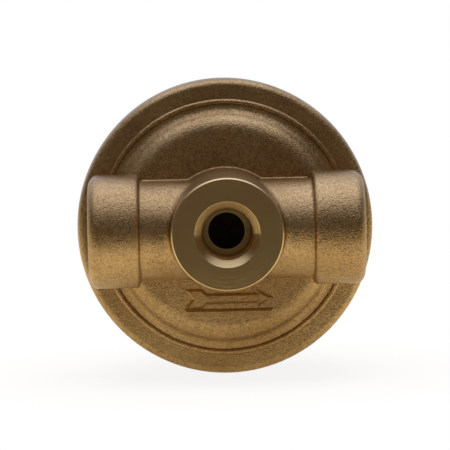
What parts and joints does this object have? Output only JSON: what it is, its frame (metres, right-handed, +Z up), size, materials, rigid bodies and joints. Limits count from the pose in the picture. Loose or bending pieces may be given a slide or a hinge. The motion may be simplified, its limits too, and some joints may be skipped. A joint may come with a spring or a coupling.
{
  "type": "diaphragm pressure regulator",
  "caption": "Direct-acting diaphragm pressure regulator: cast body with in-line threaded ports, bottom port and flow arrow, screwed spring bonnet with adjusting screw",
  "frame": {"origin": "centre of the inlet port's mouth, on the axis of the flow tube", "axes": "+X is the direction of flow from inlet to outlet, +Y runs along the spring axis from the bottom port to the adjusting screw, +Z is up across both"},
  "size_m": [0.0708, 0.1325, 0.0708],
  "materials": {
    "cast_bronze": "sand-blasted sand-cast bronze, machined faces satin",
    "machined_bronze": "turned",
    "copper": "annealed copper",
    "stainless_steel": "turned stainless steel",
    "disc_rubber": "moulded nitrile rubber",
    "diaphragm_rubber": "fabric-reinforced nitrile rubber",
    "plated_steel": "zinc-plated steel",
    "spring_steel": "oiled spring steel",
    "ball_steel": "polished hardened steel"
  },
  "bodies": {
    "housing": {"body": "cast_bronze", "bonnet": "cast_bronze", "seat_ring": "machined_bronze", "seat_gasket": "copper", "slip_ring": "stainless_steel", "vent_screen": "stainless_steel", "diaphragm": "diaphragm_rubber", "return_spring": "spring_steel", "range_spring": "spring_steel"},
    "valve": {"poppet": "stainless_steel", "valve_disc": "disc_rubber", "disc_washer": "stainless_steel", "lower_plate": "plated_steel", "upper_plate": "plated_steel", "stem_washer": "plated_steel", "stem_nut": "plated_steel"},
    "thrust": {"spring_seat": "plated_steel", "thrust_ball": "ball_steel"},
    "screw": {"adjusting_screw": "plated_steel"},
    "nut_washer": {"lock_washer": "plated_steel"},
    "nut": {"lock_nut": "plated_steel"}
  },
  "joints": [
    {"name": "valve_lift", "type": "slide", "parent": "housing", "child": "valve", "axis": [0, -1, 0], "range_m": [0, 0.0015], "stiffness_N_per_m": 2000, "springref_m": -0.003, "deforming": ["return_spring", "diaphragm", "range_spring"]},
    {"name": "screw_travel", "type": "slide", "parent": "housing", "child": "thrust", "axis": [0, -1, 0], "range_m": [0, 0.01], "deforming": ["range_spring"]},
    {"name": "screw_turn", "type": "hinge", "parent": "thrust", "child": "screw", "pos_m": [0.0322, 0.0711, 0], "axis": [0, -1, 0], "range_deg": [0, 2400]},
    {"name": "nut_travel", "type": "slide", "parent": "housing", "child": "nut_washer", "axis": [0, 1, 0], "range_m": [0, 0.004]},
    {"name": "nut_turn", "type": "hinge", "parent": "nut_washer", "child": "nut", "pos_m": [0.0322, 0.0892, 0], "axis": [0, 1, 0], "range_deg": [0, 960]}
  ],
  "couplings": [
    {"joint": "screw_turn", "follows": "screw_travel", "rad_per_m": 4188.8},
    {"joint": "nut_turn", "follows": "nut_travel", "rad_per_m": 4188.8}
  ]
}
